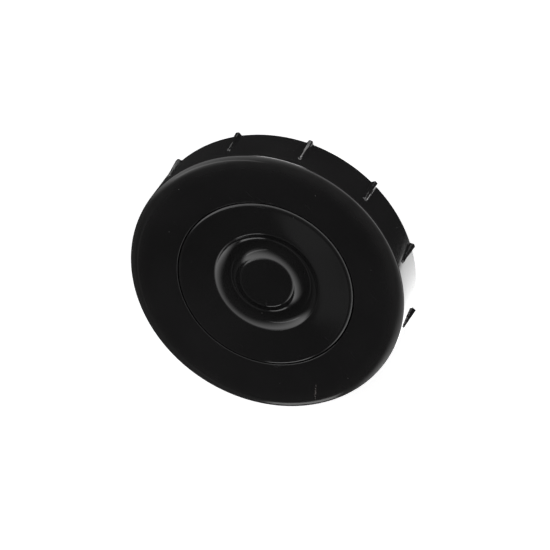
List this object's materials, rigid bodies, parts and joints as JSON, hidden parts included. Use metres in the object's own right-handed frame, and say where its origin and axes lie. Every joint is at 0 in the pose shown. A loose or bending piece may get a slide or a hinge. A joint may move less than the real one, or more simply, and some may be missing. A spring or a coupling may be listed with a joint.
{
  "type": "desk grommet",
  "caption": "Round black press-in desk grommet: ribbed outer ring with a rounded rim and a dished inner cover that turns and lifts out to open the cable hole.",
  "frame": {"origin": "centre of the outer ring's back edge, the face that goes into the desk first", "axes": "+Z along the grommet's axis, out of the visible face; +X through one of the press-fit ribs"},
  "size_m": [0.0782, 0.0782, 0.0136],
  "materials": {
    "ring_plastic": "moulded gloss black",
    "cover_plastic": "moulded gloss black",
    "seat_rubber": "matt black"
  },
  "bodies": {
    "ring": {"outer_ring": "ring_plastic"},
    "seat": {"seat_ring": "seat_rubber"},
    "cover": {"inner_cover": "cover_plastic"}
  },
  "joints": [
    {"name": "cover_turn", "type": "hinge", "parent": "ring", "child": "seat", "pos_m": [0, 0, 0.0103], "axis": [0, 0, 1], "continuous": true},
    {"name": "cover_lift", "type": "slide", "parent": "seat", "child": "cover", "axis": [0, 0, 1], "range_m": [0, 0.02]}
  ]
}
